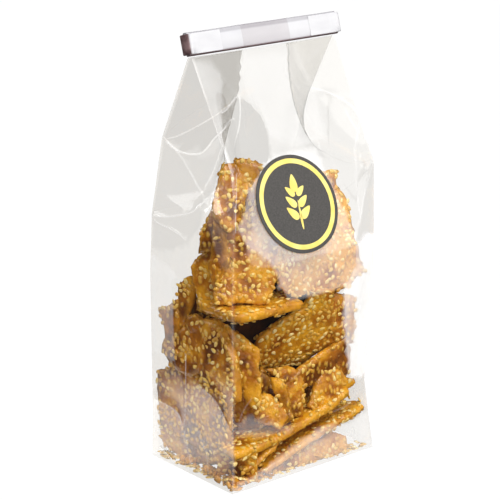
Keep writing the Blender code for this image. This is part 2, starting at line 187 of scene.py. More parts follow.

# ---- the brittle -----------------------------------------------------------------------------------------------
# Each piece, as (middle of its face, heading, lean, thickness, outline, tone, seeds). Heading 0 faces the front, -90
# the left and 90 the right; lean turns the face up. The outline is (along, up) on the face. The last two are how pale
# it is and how thickly its faces are set with seeds, from 0 to 1. The paleness is partly the piece's own colour and
# partly painted shade.
SLABS = [
    # the top of the heap
    ((-34, -16, 147), -15, 26, 4.2, [(-1, 16), (5, 16), (11, 6), (3, -10), (-1, -16), (-5, -17), (-9, -11),
                                     (-10, -3)], 0.6, 0.6),
    ((-19, -9, 151), -35, 8, 4.2, [(-6, 9), (-3, 10), (7, 7), (6, 3), (2, -12), (-5, -10)], 0.5, 0.5),
    ((-42, -8, 129), -72, 8, 4.2, [(0, 12), (4, 9), (5, -8), (-6, -12), (-5, -3)], 0.35, 0.3),
    ((-43, -16, 117), -60, 2, 4.0, [(-3, 18), (2, 15), (5, -1), (-2, -18), (-5, -6)], 0.3, 0.3),
    ((-28, -19, 117), -28, 15, 4.4, [(-12, 14), (-2, 16), (6, 25), (16, 18), (20, -5), (9, -25), (-17, -23),
                                     (-14, -4)], 0.55, 0.9),
    ((-15, -17, 131), -8, 12, 4.2, [(-11, 17), (-1, 21), (14, 9), (11, -22), (-5, -19), (-14, -5)], 0.5, 0.5),
    ((11, -24, 120), 3, 11, 4.4, [(-27, -9), (-24, -21), (-19, -25), (-14, -28), (-4, -28), (13, -31), (22, -16),
                                  (27, -8), (27, 12), (22, 22), (24, 29), (13, 30), (-4, 25), (-20, 12)], 0.95, 1.0),
    ((36, -25, 105), -5, 7, 4.2, [(2, 18), (4, 10), (9, -9), (-1, -15), (-9, -17), (-12, -3), (-7, 12)], 0.75, 0.8),
    ((31, -25, 73), 0, 2, 4.2, [(-8, 16), (10, 8), (9, -15), (1, -17), (-9, -4)], 0.6, 0.8),
    ((-41, -3, 104), -62, 6, 4.2, [(-8, 4), (-5, 9), (4, 16), (6, 8), (7, -10), (-2, -16), (-5, -7), (-7, -2)], 0.6, 0.4),
    # its middle
    ((-23, -17, 93), 0, 88, 5.5, [(-22, 14), (-22, 5), (-22, -9), (-18, -15), (-8, -16), (4, -17), (19, -17),
                                  (21, -10), (13, 11), (-7, 19)], 0.7, 0.6),
    ((-9, -1, 73), -10, 14, 4.2, [(-16, 2), (-6, 12), (16, 10), (12, -9), (-10, -10)], 0.2, 0.3),
    ((9, -21, 70), -15, -20, 4.4, [(1, 24), (12, 22), (21, -10), (4, -23), (-18, -23), (-25, -15), (-25, -2),
                                   (-15, 7), (-2, 13)], 0.68, 1.0),
    ((-42, 12, 86), -75, 3, 4.6, [(-5, 9), (1, 14), (5, 12), (4, 4), (2, -5), (-1, -12), (-4, -14)], 0.45, 0.3),
    ((-45, 23, 75), -86, 3, 4.0, [(-7, 4), (7, 13), (8, -2), (5, -13), (-1, -10), (-2, -4)], 0.5, 0.4),
    ((-44, 11, 66), -83, 4, 4.2, [(-8, 2), (-6, 5), (1, 9), (2, 14), (7, 16), (13, 15), (15, -11), (4, -16),
                                  (-8, -14), (-16, -7), (-15, -1)], 0.4, 0.5),
    ((-42, -14, 62), -84, 5, 6.0, [(-12, 20), (-5, 21), (-1, 17), (4, 11), (10, 4), (12, -7), (13, -16), (8, -20),
                                   (-7, -16), (-15, -6), (-14, 6)], 0.45, 0.55),
    ((-31, -20, 60), -42, 8, 5.0, [(-11, 21), (-1, 15), (8, 8), (8, -1), (10, -19), (5, -22), (2, -18), (-2, -5),
                                   (-6, 8)], 0.75, 0.3),
    ((17, -25, 50), 0, -4, 4.0, [(-20, -4), (-14, 1), (17, 11), (21, 4), (20, -9), (4, -10), (-14, -10)], 0.4, 0.3),
    # its foot
    ((-43, 5, 31), -86, 2, 4.4, [(-27, 15), (-23, 16), (-17, 20), (-11, 22), (-8, 20), (2, 20), (9, 18), (22, 17),
                                 (26, 12), (27, 1), (26, -8), (16, -22), (9, -20), (-2, -19), (-15, -14), (-25, -5)], 0.3, 1.0),
    ((-42, 11, 15), -80, -3, 4.4, [(-19, 13), (-13, 12), (2, 12), (9, 1), (14, -6), (20, -9), (10, -13), (-1, -13),
                                   (-13, -11), (-18, -7)], 0.42, 0.8),
    ((-12, -22, 39), -52, 12, 5.0, [(-8, 15), (-3, 9), (3, 1), (7, -5), (10, -10), (6, -13), (1, -15), (-4, -7),
                                    (-5, 2), (-6, 9)], 0.5, 0.35),
    ((-18, -27, 35), -30, 20, 4.0, [(-10, 1), (-3, 9), (3, 6), (9, -4), (4, -9), (-5, -5)], 0.6, 0.3),
    ((-5, -25, 41), -12, 10, 5.0, [(-10, 13), (-4, 13), (4, 12), (9, 8), (10, 2), (9, -4), (8, -14), (1, -13),
                                   (-1, -6), (-2, 3), (-6, 9)], 0.6, 0.25),
    ((-13, -28, 42), -30, 5, 4.0, [(-4, 9), (0, 8), (3, 5), (5, -5), (3, -10), (0, -3), (-3, 3)], 0.7, 0.3),
    ((23, -27, 39), -5, 12, 4.6, [(-4, 11), (8, 6), (11, 1), (15, 0), (15, -2), (7, -5), (2, -9), (-11, -10),
                                  (-16, -8), (-13, -5), (-6, 7)], 0.55, 0.25),
    ((-6, -18, 25.5), -90, 78, 5.0, [(12, -39), (13, -20), (13, 4), (13, 30), (12, 38), (8, 40), (-6, 20), (-14, -8),
                                     (-6, -36)], 0.75, 0.6),
    ((8, -18, 16.5), -90, 75, 3.8, [(12, -34), (13, -20), (13, 10), (13, 30), (11, 36), (4, 38), (-8, 22), (-12, -10),
                                    (-2, -32)], 0.9, 0.6),
    ((-26, -21, 14), -90, 68, 3.6, [(8, -13), (9, -4), (9, 8), (5, 14), (-6, 4), (-5, -10)], 0.5, 0.4),
    # The next three, at tone 0.1, are near-black pieces put in gaps that are in shade: painted shade.
    ((-33, -4, 93), -50, 8, 4.2, [(-10, 9), (2, 12), (11, 8), (10, -9), (-1, -12), (-11, -8)], 0.1, 0.2),
    ((-34, 5, 80), -70, 5, 4.0, [(-9, 8), (3, 9), (9, 5), (8, -8), (-2, -9), (-9, -6)], 0.1, 0.2),
    ((-24, -10, 40), -45, 6, 4.2, [(-13, 14), (4, 17), (14, 9), (13, -16), (-2, -18), (-14, -12)], 0.1, 0.2),
    ((-37, -23, 11), -62, 3, 4.0, [(-13, 5), (-5, 8), (4, 7), (9, 10), (10, -9), (1, -9), (-11, -6)], 0.75, 0.5),
    ((3, -28, 7), -2, 20, 4.0, [(-29, -2), (-8, 1), (21, 6), (29, 2), (29, -2), (28, -5), (9, -6), (-10, -6),
                                (-23, -5)], 0.6, 0.7),
]
# The far side of the heap, in the same terms.
FAR_SLABS = [
    ((-16, 21, 30), 178, 6, 4.4, [(-21, -17), (-6, -23), (14, -20), (21, -8), (18, 12), (6, 18), (-10, 14), (-23, 6)],
     0.5, 0.7),
    ((24, 20, 27), 188, -4, 4.2, [(-16, -18), (2, -21), (15, -16), (17, 2), (12, 15), (-2, 19), (-13, 12), (-18, -2)],
     0.6, 0.6),
    ((-5, 18, 66), 173, 9, 4.4, [(-19, -12), (-8, -19), (9, -17), (22, -12), (23, 4), (13, 17), (-3, 15), (-17, 17)],
     0.45, 0.7),
    ((26, 15, 62), 200, 8, 4.2, [(-13, -14), (1, -17), (13, -9), (15, 6), (6, 15), (-8, 17), (-15, 4)], 0.55, 0.5),
    ((5, 14, 97), 176, 14, 4.2, [(-21, -9), (-10, -14), (6, -12), (19, -15), (22, 1), (13, 12), (-4, 10), (-16, 13)],
     0.5, 0.6),
    ((2, 3, 113), 172, 18, 4.2, [(-12, -10), (1, -13), (13, -8), (12, 6), (5, 12), (-7, 9), (-13, 3)], 0.6, 0.5),
    ((39, 8, 27), 88, 5, 4.4, [(-15, -18), (-2, -21), (13, -17), (16, -3), (12, 13), (2, 17), (-9, 12), (-17, 3)],
     0.55, 0.7),
    ((38, 5, 61), 80, 7, 4.2, [(-13, -13), (3, -16), (14, -10), (12, 5), (8, 16), (-5, 14), (-15, 8)], 0.5, 0.6),
    ((33, 0, 92), 68, 12, 4.2, [(-12, -11), (-1, -15), (11, -12), (13, 3), (5, 14), (-8, 12), (-13, 1)], 0.6, 0.6),
]
SLAB_STEP = 1.5         # spacing of the corners on a piece
RIM_ROUND = 1.1         # how far a piece's broken rim is rounded
RELIEF = 0.35           # the height of the bumps on a face
FILL_TRIES, FILL_WANTED = 900, 44

SEED_LENGTH, SEED_WIDTH, SEED_HEIGHT, SEED_SUNK = 3.4, 2.1, 0.7, 0.24
SEED_SPACING = 2.5
SEED_BARE, SEED_SPREAD = 0.32, 0.75     # no seeds where the noise is under the first less the second by the share
LOOSE_SEEDS, CRUMBS = 230, 120
FILM_CLEAR = 0.4        # how near to the film a piece comes
MOST_FACES = 190000     # in one piece of the scene


def along(profile, z):
    """The value at height z of a profile given as (height, value) points, straight between them."""
    for (z0, v0), (z1, v1) in zip(profile, profile[1:]):
        if z <= z1:
            return v0 + (v1 - v0) * (z - z0) / (z1 - z0)
    return profile[-1][1]


def soft_along(profile, z):
    """The same with its corners rounded over SOFT_BEND, and its two ends kept."""
    reach = min(SOFT_BEND, z, NECK_Z - z)
    return sum(along(profile, z + reach * k / 2) for k in (-2, -1, 0, 1, 2)) / 5


def plateau(u):
    """1 in the middle of a wide panel, falling smoothly to 0 at its folds, where u is 1 or -1."""
    over = max(0.0, (abs(u) - PLATEAU) / (1 - PLATEAU))
    return 0.5 + 0.5 * math.cos(math.pi * min(1.0, over))


def half_width(side, z):
    return along(LEFT_HALF_WIDTH if side < 0 else RIGHT_HALF_WIDTH, z)


def wide_y(facing, x, z):
    """Where the front (facing -1) or back (facing 1) panel is, at x and height z."""
    left, right, middle = (
        (FRONT_LEFT, FRONT_RIGHT, FRONT_MIDDLE) if facing < 0 else (BACK_LEFT, BACK_RIGHT, BACK_MIDDLE)
    )
    u = x / half_width(-1 if x < 0 else 1, z)
    folds = along(left, z) + (along(right, z) - along(left, z)) * (u + 1) / 2
    return facing * (folds + (soft_along(middle, z) - folds) * plateau(u))


def wide_point(facing, x, z):
    return Vector((x, wide_y(facing, x, z), z))


def side_point(side, across, z):
    """A point of the left (side -1) or right (side 1) gusset, across from -HALF_DEPTH (front) to HALF_DEPTH."""
    edge = side * half_width(side, z)
    front_y, back_y = wide_y(-1, edge, z), wide_y(1, edge, z)
    half_open = (back_y - front_y) / 2 / (1 - TAKEN_UP)
    folded = math.sqrt(max(0.0, HALF_DEPTH ** 2 - half_open ** 2))
    inward = folded * (1 - abs(across) / HALF_DEPTH)
    y = front_y + (back_y - front_y) * (across / HALF_DEPTH + 1) / 2
    return Vector((edge - side * inward, y, z))


def kept_inside(place):
    """The nearest place to this one that is clear of the film."""
    z = max(place.z, FILM_CLEAR)
    reach = half_width(-1 if place.x < 0 else 1, z) - FILM_CLEAR
    x = min(reach, max(-reach, place.x))
    y = min(wide_y(1, x, z) - FILM_CLEAR, max(wide_y(-1, x, z) + FILM_CLEAR, place.y))
    return Vector((x, y, z))


# ---- small helpers ---------------------------------------------------------------------------------------------
def new_object(name, points, faces, smooth=True):
    """An object from points in millimetres."""
    mesh = bpy.data.meshes.new(name)
    mesh.from_pydata([tuple(c * MM for c in p) for p in points], [], faces)
    mesh.validate()
    if smooth:
        mesh.shade_smooth()
    obj = bpy.data.objects.new(name, mesh)
    bpy.context.scene.collection.objects.link(obj)
    return obj


def keep_values(obj, name, values):
    """One number for each corner of a mesh, which its material reads by name."""
    layer = obj.data.attributes.new(name, "FLOAT", "POINT")
    layer.data.foreach_set("value", np.asarray(values, np.float32))


def even_line(points, step):
    """Points at even steps along a smooth line through the given ones."""
    given = [Vector(p) for p in points]
    ends = [2 * given[0] - given[1]] + given + [2 * given[-1] - given[-2]]
    dense = []
    for a, b, c, d in zip(ends, ends[1:], ends[2:], ends[3:]):
        for i in range(8):
            t = i / 8
            dense.append(0.5 * (2 * b + (c - a) * t + (2 * a - 5 * b + 4 * c - d) * t * t
                                + (3 * b - a - 3 * c + d) * t ** 3))
    dense.append(given[-1])
    gone = [0.0]
    for p, q in zip(dense, dense[1:]):
        gone.append(gone[-1] + (q - p).length)
    count = max(1, round(gone[-1] / step))
    made, k = [], 0
    for i in range(count + 1):
        want = gone[-1] * i / count
        while k < len(dense) - 2 and gone[k + 1] < want:
            k += 1
        t = (want - gone[k]) / max(1e-9, gone[k + 1] - gone[k])
        made.append(dense[k].lerp(dense[k + 1], min(1.0, t)))
    return made


def offset_line(line, distance):
    """A line beside another one in the plane."""
    made = []
    for i, p in enumerate(line):
        ahead = (line[min(i + 1, len(line) - 1)] - line[max(i - 1, 0)]).normalized()
        made.append(p + Vector((-ahead.y, ahead.x)) * distance)
    return made


def distance_to(points, line, closed=False):
    """How far each of the points is from a line in the plane, as an array."""
    ends = np.array([tuple(p) for p in line], float)
    starts, stops = (ends, np.roll(ends, -1, 0)) if closed else (ends[:-1], ends[1:])
    points = np.asarray(points, float)
    best = np.full(len(points), 1e9)
    for a, b in zip(starts, stops):
        run = b - a
        t = np.clip(((points - a) @ run) / max(1e-12, run @ run), 0, 1)
        best = np.minimum(best, np.linalg.norm(points - a - t[:, None] * run, axis=1))
    return best


def inside(points, outline):
    """Which of the points are inside a closed outline in the plane."""
    points = np.asarray(points, float)
    ends = np.array([tuple(p) for p in outline], float)
    found = np.zeros(len(points), bool)
    for (x0, y0), (x1, y1) in zip(ends, np.roll(ends, -1, 0)):
        if y0 == y1:
            continue
        between = (points[:, 1] > min(y0, y1)) & (points[:, 1] <= max(y0, y1))
        found ^= between & (points[:, 0] < x0 + (points[:, 1] - y0) * (x1 - x0) / (y1 - y0))
    return found


def grid_in(outline, step, clear, lines=(), line_clear=0.0):
    """A triangular grid of points inside an outline, kept clear of it and of the lines."""
    ends = np.array([tuple(p) for p in outline], float)
    low, high = ends.min(0), ends.max(0)
    rows = []
    for r, y in enumerate(np.arange(low[1] + step / 2, high[1], step * 0.87)):
        xs = np.arange(low[0] + step * (0.25 if r % 2 else 0.75), high[0], step)
        rows.append(np.stack([xs, np.full(len(xs), y)], 1))
    points = np.concatenate(rows) if rows else np.zeros((0, 2))
    points = points[inside(points, outline)]
    points = points[distance_to(points, outline, True) > clear]
    for line in lines:
        points = points[distance_to(points, line) > line_clear]
    return points


def fill(outline, lines, loose):
    """(points, triangles) that fill an outline in the plane, with edges along the lines."""
    points, edges = [Vector(p) for p in outline], []
    for line in lines:
        first = len(points)
        points += [Vector(p) for p in line]
        edges += [(first + i, first + i + 1) for i in range(len(line) - 1)]
    points += [Vector(p) for p in loose]
    flat, _, faces, *_ = delaunay_2d_cdt(points, edges, [list(range(len(outline)))], 1, 1e-4)
    return [tuple(p) for p in flat], [tuple(f) for f in faces]


# ---- the film --------------------------------------------------------------------------------------------------
def runs_inside(line, outline, clear):
    """The stretches of a line that keep inside an outline."""
    keep = inside(line, outline) & (distance_to(line, outline, True) > clear)
    runs, run = [], []
    for p, kept in zip(line, keep):
        if kept:
            run.append(p)
        elif run:
            runs.append(run)
            run = []
    if run:
        runs.append(run)
    return [run for run in runs if len(run) > 1]


def straight_line(points, step):
    """A closed outline's points at even steps."""
    made = []
    for a, b in zip(points, points[1:] + points[:1]):
        a, b = Vector(a), Vector(b)
        count = max(1, round((b - a).length / step))
        made += [a.lerp(b, i / count) for i in range(count)]
    return made + made[:1]


def film_panel(place, edge, creases, milky_and_painted_light, outward):
    """(points, faces, whiteness) of one panel: its own shape, with its creases pushed out of it."""
    heights = list(np.linspace(0, NECK_Z, round(NECK_Z / FOLD_STEP) + 1))
    left, right = [(edge(-1, z), z) for z in heights], [(edge(1, z), z) for z in heights]
    count = round((right[0][0] - left[0][0]) / FILM_STEP)
    low = [(left[0][0] + (right[0][0] - left[0][0]) * i / count, 0.0) for i in range(1, count)]
    top = [(right[-1][0] + (left[-1][0] - right[-1][0]) * i / count, NECK_Z) for i in range(1, count)]
    outline = left[:1] + low + right + top + left[:0:-1]
    ridges = [even_line(c[3], CREASE_STEP) for c in creases]
    lines = [offset_line(r, d) for r in ridges for d in (-CREASE_HALF, 0, CREASE_HALF)]
    lines += [straight_line(patch, 2 * CREASE_STEP) for _, patch in milky_and_painted_light]
    lines = [run for line in lines for run in runs_inside(line, outline, FOLD_LINES[0] + 0.3)]
    folds = [[Vector((p[0] - s * d, p[1])) for p in side] for s, side in ((-1, left), (1, right)) for d in FOLD_LINES]
    loose = grid_in(outline, FILM_STEP, FOLD_LINES[-1] + FILM_STEP * 0.5, lines, FILM_STEP * 0.45)
    flat, faces = fill(outline, lines + folds, loose)
    at = np.array(flat)
    free = np.clip(distance_to(at, outline, True) / 3.0, 0, 1)
    if creases is FRONT_CREASES:
        under = np.hypot(at[:, 0], (at[:, 1] - LABEL_Z) * LABEL_STRETCH)
        free *= np.clip((under - LABEL_RADIUS - 1) / 5, 0, 1)
    push, white = np.zeros(len(at)), np.zeros(len(at))
    for (depth, reach, sharp, _), ridge in zip(creases, ridges):
        away = distance_to(at, ridge)
        push += depth * np.clip(1 - away / reach, 0, None)
        push += BEAD * sharp * np.clip(1 - away / CREASE_HALF, 0, 1)
        # A crease's bead is whitened: partly the film's own whitening, partly painted highlight.
        white = np.maximum(white, CREASE_WHITE_AND_HIGHLIGHT * sharp * np.clip(1 - away / CREASE_HALF, 0, 1))
    # Patches whiten the film for doubled film and for painted reflection, or grey it as painted shade where the share
    # is under 0.
    for share, patch in milky_and_painted_light:
        within = inside(at, patch) | (distance_to(at, patch, True) < 0.05)
        white = np.where(within & (white < 0.02), share, white)
    # The folds are whitened near their edges: partly from being pressed, partly painted highlight.
    fold_away = np.minimum(distance_to(at, left), distance_to(at, right))
    on_fold = np.array([along(FOLD_WHITE_AND_HIGHLIGHT, z) for _, z in flat])
    on_fold = on_fold * np.clip(1.4 - fold_away / FOLD_LINES[0], 0, 1)
    white = np.where(on_fold > 0, np.maximum(white, on_fold), white)
    points = []
    for (a, z), d, f in zip(flat, push, free):
        loosely = FILM_WAVE * noise.noise(Vector((a / 14, z / 42, 7.0 * outward)))
        step = 0.4
        p = place(a, z)
        across = place(a + step, z) - place(a - step, z)
        upward = place(a, min(NECK_Z, z + step)) - place(a, max(0.0, z - step))
        normal = across.cross(upward).normalized() * outward
        points.append(p + normal * (d + loosely) * f)
    return points, faces, white


def make_film(material):
    panels = [
        (lambda x, z: wide_point(-1, x, z), lambda s, z: s * half_width(s, z), FRONT_CREASES, FRONT_MILKY_AND_PAINTED_LIGHT, 1),
        (lambda x, z: wide_point(1, x, z), lambda s, z: s * half_width(s, z), BACK_CREASES, BACK_MILKY_AND_PAINTED_LIGHT, -1),
        (lambda a, z: side_point(-1, a, z), lambda s, z: s * HALF_DEPTH, LEFT_CREASES, LEFT_MILKY_AND_PAINTED_LIGHT, -1),
        (lambda a, z: side_point(1, a, z), lambda s, z: s * HALF_DEPTH, RIGHT_CREASES, RIGHT_MILKY_AND_PAINTED_LIGHT, 1),
    ]
    points, faces, white = [], [], []
    for place, edge, creases, milky_and_painted_light, outward in panels:
        made, tris, share = film_panel(place, edge, creases, milky_and_painted_light, outward)
        first = len(points)
        points += made
        faces += [tuple(first + i for i in (f if outward > 0 else f[::-1])) for f in tris]
        white += list(share)
    base = [(-HALF_WIDTH, -HALF_DEPTH), (HALF_WIDTH, -HALF_DEPTH), (HALF_WIDTH, HALF_DEPTH),
            (-HALF_WIDTH, HALF_DEPTH)]
    first = len(points)
    points += [Vector((x, y, 0.1)) for x, y in base]
    faces.append(tuple(first + i for i in (3, 2, 1, 0)))
    white += [0.0] * 4
    film = new_object("film", points, faces)
    keep_values(film, "white", white)
    film.data.materials.append(material)
    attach(film, "root")
    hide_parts("bag")
    return film


def make_roll(material):
    """The top of the film, folded over and over into a flat bar: thicker where the gussets are inside it."""
    end = HALF_WIDTH - 1.2
    stations = [-HALF_WIDTH, -HALF_WIDTH + 0.4, -end]
    for low, high in ((-44, -SEAM_X - 0.4), (-SEAM_X + 0.4, SEAM_X - 0.4), (SEAM_X + 0.4, 44)):
        stations += list(np.linspace(low, high, 10))
    stations += [end, HALF_WIDTH - 0.4, HALF_WIDTH]
    lean = Matrix.Rotation(-ROLL_LEAN, 3, "X")
    points, levels, count = [], [], 44
    for x in stations:
        thin = 0.3 if abs(x) < SEAM_X else 0.0
        past = max(0.0, (abs(x) - end) / 1.2)
        half = (ROLL_HALF - thin) * math.sqrt(max(0.0, 1 - 0.5 * past ** 2))
        sag = 0.25 * noise.noise(Vector((x / 22, 0, 8)))
        for i in range(count):
            turn = 2 * math.pi * i / count
            c, s = math.cos(turn), math.sin(turn)
            y = math.copysign(abs(c) ** 0.35, c) * half
            level = math.copysign(abs(s) ** 0.7, s)
            y += 0.16 * noise.noise(Vector((x / 9, level * 1.5, 3 + (c > 0)))) * (1 - level ** 2) * (abs(x) < 26)
            z = ROLL_START + ROLL_HEIGHT / 2 * (1 + level) + sag * max(0.0, level)
            points.append(lean @ Vector((x, y, z)) + Vector((0, 0, NECK_Z)))
            levels.append(level)
    faces = []
    for r in range(len(stations) - 1):
        for i in range(count):
            j = (i + 1) % count
            faces.append((r * count + i, (r + 1) * count + i, (r + 1) * count + j, r * count + j))
    faces.append(tuple(range(count)))
    faces.append(tuple(range((len(stations) - 1) * count, len(stations) * count))[::-1])
    roll = new_object("roll", points, faces)
    keep_values(roll, "level", levels)
    roll.data.set_sharp_from_angle(angle=math.radians(35))
    roll.data.materials.append(material)
    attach(roll, "root")
    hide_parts("bag")
    return roll


def make_tie(material):
    """The strip along the back of the roll, with its two ends bent round onto the front."""
    near = ROLL_HALF + TIE_GAP
    end = HALF_WIDTH + TIE_GAP
    half = []               # from the middle of the back round to the right tab: (x, y, out x, out y, thickness)
    for x in np.linspace(0, end - TIE_BEND, 12):
        half.append((x, near, 0, 1, TIE_THICK))
    for middle_y, start in ((near - TIE_BEND, 90), (-near + TIE_BEND, 0)):
        for k in range(1, 7):
            turn = math.radians(start - 15 * k)
            out = (math.cos(turn), math.sin(turn))
            half.append((end - TIE_BEND + TIE_BEND * out[0], middle_y + TIE_BEND * out[1], *out, TIE_THICK))
    for k in range(1, 7):
        half.append((end - TIE_BEND - (TIE_TAB - TIE_BEND) * k / 6, -near + TIE_GAP * k / 7, 0, -1, TIE_THIN))
    path = [(-x, y, -ox, oy, t) for x, y, ox, oy, t in half[:0:-1]] + half
    lean = Matrix.Rotation(-ROLL_LEAN, 3, "X")
    base = ROLL_START + (ROLL_HEIGHT - TIE_HEIGHT) / 2
    points, ends = [], []
    for x, y, ox, oy, thick in path:
        for away, up in ((0, 0), (0, 1), (0.6, 1), (1, 0.97), (1, 0.03), (0.6, 0)):
            at = Vector((x + ox * thick * away, y + oy * thick * away, base + TIE_HEIGHT * up))
            points.append(lean @ at + Vector((0, 0, NECK_Z)))
            # The strip is darkened where it turns round each end of the roll, fully at the left and a quarter as much
            # at the right: painted shade.
            ends.append(min(1.0, max(0.0, (abs(at.x) - HALF_WIDTH - 0.1) / 0.3)) * (1.0 if at.x < 0 else 0.25))
    faces = []
    for r in range(len(path) - 1):
        for i in range(6):
            j = (i + 1) % 6
            faces.append((r * 6 + i, r * 6 + j, (r + 1) * 6 + j, (r + 1) * 6 + i))
    faces.append(tuple(range(6))[::-1])
    faces.append(tuple(range((len(path) - 1) * 6, len(path) * 6)))
    tie = new_object("tie_strip", points, faces)
    keep_values(tie, "end", ends)
    tie.data.set_sharp_from_angle(angle=math.radians(40))
    tie.data.materials.append(material)
    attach(tie, "root")
    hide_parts("tie")
    return tie


# ---- the label -------------------------------------------------------------------------------------------------
def label_place(across, up, lift):
    """A point over the front panel: across and up run along the slanting film from the label's middle."""
    rise, run = LABEL_LEAN
    z = LABEL_Z + up / LABEL_STRETCH
    normal = Vector((0, -rise, run)).normalized()
    return wide_point(-1, across + LABEL_X, z) + normal * lift


def disc(radius, inner, rings, segments, lift, thick):
    """(points, faces) of a thin round plate or ring lying on the front panel."""
    points, faces = [], []
    radii = [inner + (radius - inner) * r / rings for r in range(rings + 1)]
    for side in (lift, lift + thick):
        for r in radii:
            for i in range(segments):
                turn = 2 * math.pi * i / segments
                points.append(label_place(r * math.cos(turn), r * math.sin(turn), side))
    layer = (rings + 1) * segments
    for i in range(segments):
        j = (i + 1) % segments
        for r in range(rings):
            a, b, c, d = (k * segments + n for k, n in ((r, i), (r, j), (r + 1, j), (r + 1, i)))
            faces.append((a, b, c, d))
            faces.append((layer + a, layer + d, layer + c, layer + b))
        for k, turned in ((0, False), (rings, True)):
            a, b = k * segments + i, k * segments + j
            wall = (a, layer + a, layer + b, b)
            faces.append(wall[::-1] if turned else wall)
    return points, faces


def leaf(middle, angle, length, width, lift, thick):
    """(points, faces) of a thin seed-shaped plate on the label."""
    count = 28
    rim = []
    for i in range(count):
        turn = 2 * math.pi * i / count
        x = length / 2 * math.cos(turn)
        y = width / 2 * math.sin(turn) * (1 - 0.45 * math.cos(turn))
        rim.append((middle[0] + x * math.cos(angle) - y * math.sin(angle),
                    middle[1] + x * math.sin(angle) + y * math.cos(angle)))
    points = [label_place(*p, lift) for p in rim] + [label_place(*p, lift + thick) for p in rim]
    faces = [tuple(range(count))[::-1], tuple(range(count, 2 * count))]
    faces += [(i, (i + 1) % count, count + (i + 1) % count, count + i) for i in range(count)]
    return points, faces


def make_label(paper, foil):
    points, faces, slots = [], [], []

    def add(made, slot):
        first = len(points)
        points.extend(made[0])
        faces.extend(tuple(first + i for i in f) for f in made[1])
        slots.extend([slot] * len(made[1]))

    add(disc(LABEL_RADIUS, 0.01, 10, 128, LABEL_GAP, LABEL_THICK), 0)
    top = LABEL_GAP + LABEL_THICK
    add(disc(RING_OUT, RING_IN, 2, 128, top - 0.02, FOIL_THICK), 1)
    tilt = math.radians(6)
    add(leaf((0, -5.5), math.radians(90) - tilt, 15, 1.2, top - 0.02, FOIL_THICK), 1)
    for pair, (height, length) in enumerate([(-7.5, 8.6), (-1.5, 7.8), (4.0, 6.8)]):
        for side in (-1, 1):
            angle = math.radians(90 - side * 48) - tilt
            root = Vector((height * math.sin(tilt) + side * 0.5, height))
            middle = root + Vector((math.cos(angle), math.sin(angle))) * length * 0.55
            add(leaf(middle, angle, length, length * 0.46, top - 0.02, FOIL_THICK), 1)
    add(leaf((0.9, 10.5), math.radians(90) - tilt, 9.0, 4.4, top - 0.02, FOIL_THICK), 1)
    label = new_object("label_disc", points, faces)
    label.data.set_sharp_from_angle(angle=math.radians(35))
    label.data.materials.append(paper)
    label.data.materials.append(foil)
    label.data.polygons.foreach_set("material_index", slots)
    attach(label, "root")
    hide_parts("label")
    return label


# ---- the brittle -----------------------------------------------------------------------------------------------
def facing(heading, lean):
    """The turn that lays a piece: its columns are along, up and out of its face."""
    h, l = math.radians(heading), math.radians(lean)
    out = Vector((math.sin(h) * math.cos(l), -math.cos(h) * math.cos(l), math.sin(l)))
    across = Vector((math.cos(h), math.sin(h), 0))
    return Matrix((across, out.cross(across), out)).transposed()


def ragged(outline, rng):
    """A broken outline: the given corners with uneven breaks between them."""
    key = rng.uniform(0, 100)
    made = []
    for a, b in zip(outline, outline[1:] + outline[:1]):
        a, b = Vector(a), Vector(b)
        steps = max(1, round((b - a).length / SLAB_STEP))
        made += [a.lerp(b, i / steps) for i in range(steps)]
    middle = sum(made, Vector((0, 0))) / len(made)
    shaped = []
    for i, p in enumerate(made):
        ahead = made[(i + 1) % len(made)] - made[i - 1]
        across = Vector((ahead.y, -ahead.x)).normalized()
        if across.dot(p - middle) < 0:
            across = -across
        wave = noise.noise(Vector((p.x / 6, p.y / 6, key))) * 0.9 + noise.noise(Vector((p.x / 2.4, p.y / 2.4, key))) * 0.4
        shaped.append(p + across * wave)
    return shaped


